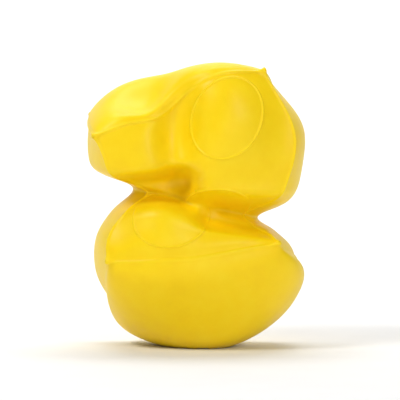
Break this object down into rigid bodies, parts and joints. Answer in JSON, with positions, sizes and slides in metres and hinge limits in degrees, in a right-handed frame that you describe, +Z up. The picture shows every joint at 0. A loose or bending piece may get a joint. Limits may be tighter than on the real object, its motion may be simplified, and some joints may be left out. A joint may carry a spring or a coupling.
{
  "type": "squeezable cube toy",
  "caption": "Soft rubber stress toy shaped like a plump ridged cube, wrung at the waist into an upper and a lower lobe; twists and bends there and springs back.",
  "frame": {"origin": "middle of the footprint of the whole toy, on the surface it stands on", "axes": "+Z up through both lobes, -Y towards the front that carries the ring outlines, +X to the right seen from the front"},
  "size_m": [0.164, 0.1168, 0.213],
  "materials": {
    "yellow_skin": "satin",
    "soft_filling": "matte",
    "plug_rubber": "satin"
  },
  "bodies": {
    "lower_lobe": {"skin_lower": "yellow_skin", "filling_lower": "soft_filling", "fill_plug": "plug_rubber"},
    "waist": {"skin_waist": "yellow_skin", "filling_waist": "soft_filling"},
    "upper_lobe": {"skin_upper": "yellow_skin", "filling_upper": "soft_filling"}
  },
  "joints": [
    {"name": "waist_twist", "type": "hinge", "parent": "lower_lobe", "child": "waist", "pos_m": [-0.00056, 0.0059, 0.10861], "axis": [0.2225, 0, 0.9749], "range_deg": [-25, 25], "stiffness_Nm_per_rad": 5},
    {"name": "waist_bend", "type": "hinge", "parent": "waist", "child": "upper_lobe", "pos_m": [-0.00056, 0.0059, 0.10861], "axis": [0.9749, 0, -0.2225], "range_deg": [-12, 12], "stiffness_Nm_per_rad": 12, "deforming": ["skin_waist", "filling_waist"]}
  ]
}
